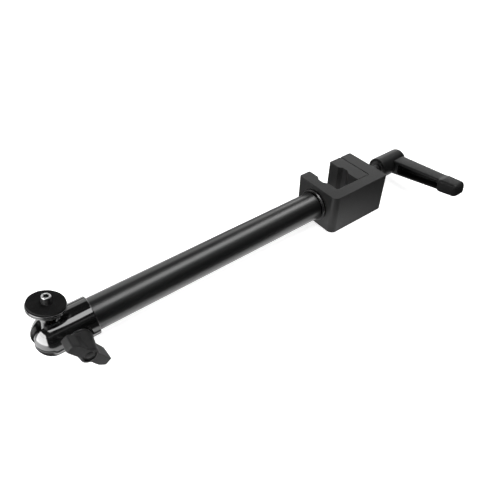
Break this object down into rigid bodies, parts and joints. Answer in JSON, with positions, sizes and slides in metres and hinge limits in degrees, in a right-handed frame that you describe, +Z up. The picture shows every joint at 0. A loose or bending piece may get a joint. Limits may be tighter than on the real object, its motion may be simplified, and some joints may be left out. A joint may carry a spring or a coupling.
{
  "type": "clamp-on mount arm",
  "caption": "Clamp-on mount arm: C clamp with sliding V jaw and lever, straight tube, slotted ball head with wing knob and a stud platform.",
  "frame": {"origin": "on the tube's axis, at the clamping face of the fixed jaw", "axes": "+X along the tube from the ball head to the clamping lever, +Y to the open side of the clamp, +Z up, square to both, the side the platform's stud stands on"},
  "size_m": [0.3748, 0.0941, 0.0552],
  "materials": {
    "satin_black": "black anodised, satin",
    "gloss_black": "black anodised over polished metal, high gloss",
    "matte_black": "bead blasted and black anodised, matte",
    "moulded_black": "moulded, fine texture",
    "rubber_black": "finely textured",
    "steel": "bright, turned",
    "dark_steel": "black oxide",
    "gloss_steel": "polished and blackened, high gloss",
    "aluminium": "plain, turned",
    "bronze": "plain, turned"
  },
  "bodies": {
    "arm": {"arm_tube": "satin_black", "clamp_body": "matte_black", "clamp_end_plug": "aluminium", "clamp_grub_screw": "dark_steel", "head_housing": "gloss_black", "head_end_plug": "aluminium", "head_grub_screw": "dark_steel"},
    "jaw": {"moving_jaw": "matte_black", "thrust_washer": "bronze", "jaw_set_screw": "dark_steel"},
    "screw": {"clamp_screw": "dark_steel", "lever_insert": "dark_steel", "lever_screw": "dark_steel", "lever_spring": "steel"},
    "lever": {"lever_handle": "moulded_black"},
    "tilting_ball": {"ball": "gloss_steel"},
    "platform": {"ball_neck": "gloss_steel", "platform_plate": "gloss_black", "platform_pad": "rubber_black", "camera_stud": "steel"},
    "washer": {"knob_washer": "dark_steel"},
    "knob": {"wing_knob": "moulded_black", "lock_screw": "dark_steel", "knob_cap": "moulded_black"},
    "piston": {"brake_piston": "bronze"}
  },
  "joints": [
    {"name": "jaw_travel", "type": "slide", "parent": "arm", "child": "jaw", "axis": [-1, 0, 0], "range_m": [0, 0.022]},
    {"name": "lever_turn", "type": "hinge", "parent": "jaw", "child": "screw", "pos_m": [0.06, 0.0056, 0], "axis": [-1, 0, 0], "range_deg": [0, 6336]},
    {"name": "lever_lift", "type": "slide", "parent": "screw", "child": "lever", "axis": [1, 0, 0], "range_m": [0, 0.004], "stiffness_N_per_m": 600, "springref_m": -0.003, "deforming": ["lever_spring"]},
    {"name": "head_tilt", "type": "hinge", "parent": "arm", "child": "tilting_ball", "pos_m": [-0.2586, 0, 0], "axis": [0, 1, 0], "range_deg": [-136, 14]},
    {"name": "head_spin", "type": "hinge", "parent": "tilting_ball", "child": "platform", "pos_m": [-0.2586, 0, 0], "axis": [0.2807, 0, 0.9598], "continuous": true},
    {"name": "knob_travel", "type": "slide", "parent": "arm", "child": "washer", "axis": [0, -1, 0], "range_m": [0, 0.002]},
    {"name": "knob_turn", "type": "hinge", "parent": "washer", "child": "knob", "pos_m": [-0.2406, -0.02, 0], "axis": [0, -1, 0], "range_deg": [0, 720]},
    {"name": "piston_travel", "type": "slide", "parent": "arm", "child": "piston", "axis": [1, 0, 0], "range_m": [0, 0.00115]}
  ],
  "couplings": [
    {"joint": "jaw_travel", "follows": "lever_turn", "m_per_rad": 0.00019894},
    {"joint": "knob_travel", "follows": "knob_turn", "m_per_rad": 0.00015915},
    {"joint": "piston_travel", "follows": "knob_turn", "m_per_rad": 0.00009188}
  ]
}
